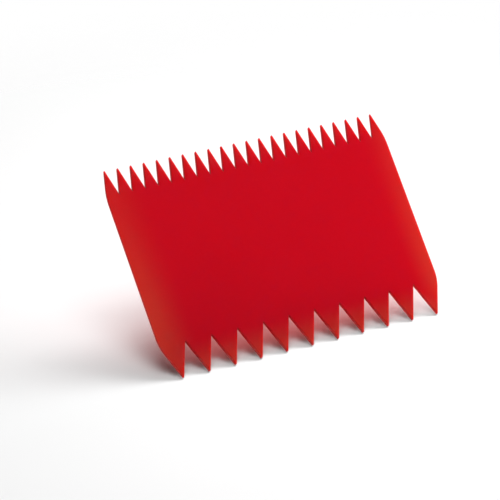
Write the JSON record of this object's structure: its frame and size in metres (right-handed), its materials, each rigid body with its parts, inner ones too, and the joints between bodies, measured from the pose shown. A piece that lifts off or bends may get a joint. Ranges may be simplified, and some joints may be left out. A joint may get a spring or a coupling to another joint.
{
  "type": "plastic comb scraper",
  "caption": "Thin rectangular plastic sheet with fine pointed teeth along one long edge and coarse pointed teeth along the other, for scraping dough and combing cream or batter.",
  "frame": {"origin": "middle of the flat back face, half way along the combs and half way from point to point", "axes": "+X along the combs, +Y from the coarse teeth to the fine teeth, +Z out of the front face"},
  "size_m": [0.11, 0.0748, 0.0012],
  "materials": {
    "red_plastic": "smooth moulded red plastic with a soft satin gloss"
  },
  "bodies": {
    "root": {"scraper_sheet": "red_plastic"}
  },
  "joints": []
}
